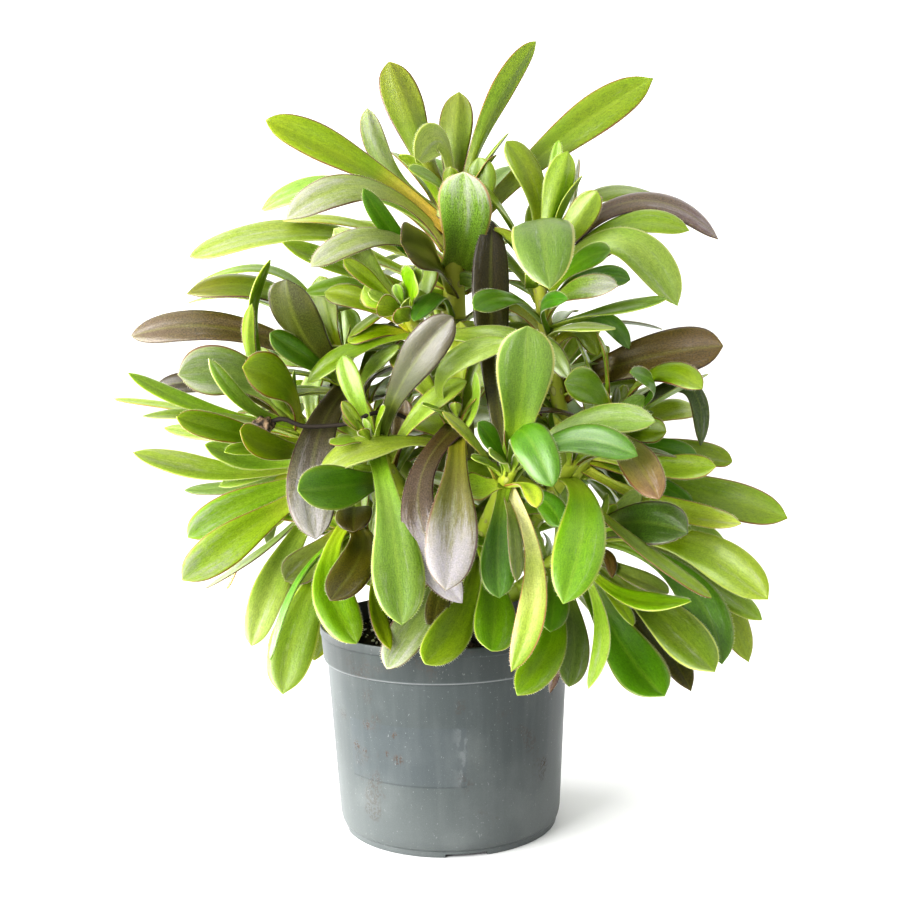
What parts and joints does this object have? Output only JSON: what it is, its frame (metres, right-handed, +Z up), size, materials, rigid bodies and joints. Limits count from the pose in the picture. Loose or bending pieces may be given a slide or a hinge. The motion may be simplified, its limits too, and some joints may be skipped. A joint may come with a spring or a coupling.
{
  "type": "potted aeonium",
  "caption": "Branched succulent shrub with long spoon-shaped leaves in open heads on a woody trunk, growing in a plain tapered nursery pot filled with peat.",
  "frame": {"origin": "centre of the pot's underside, on the surface that it stands on", "axes": "+Z up along the trunk, +Y away from the viewer of the plant's front, +X to that viewer's right"},
  "size_m": [0.432, 0.3155, 0.5215],
  "materials": {
    "pot": "thin moulded polypropylene, blue-grey, satin, scuffed, with dried peat splashes",
    "soil": "damp dark peat compost with white perlite grains",
    "stem": "green-brown fleshy stem with pale leaf scars, greyer and corky near the soil",
    "leaf": "thick waxy succulent leaf, glossy to powdery, green with red-brown or yellow margins and fine pale hairs"
  },
  "bodies": {
    "root": {"pot": "pot", "soil": "soil", "stems": "stem", "crown_head": "leaf", "right_upper_head": "leaf", "rosette_head": "leaf", "left_upper_head": "leaf", "left_head": "leaf", "left_low_head": "leaf", "left_front_head": "leaf", "trunk_shoot": "leaf", "front_head": "leaf", "right_low_head": "leaf", "right_front_head": "leaf", "right_head": "leaf", "back_left_head": "leaf", "back_right_head": "leaf", "back_middle_head": "leaf", "back_low_left_head": "leaf", "back_low_right_head": "leaf"}
  },
  "joints": []
}
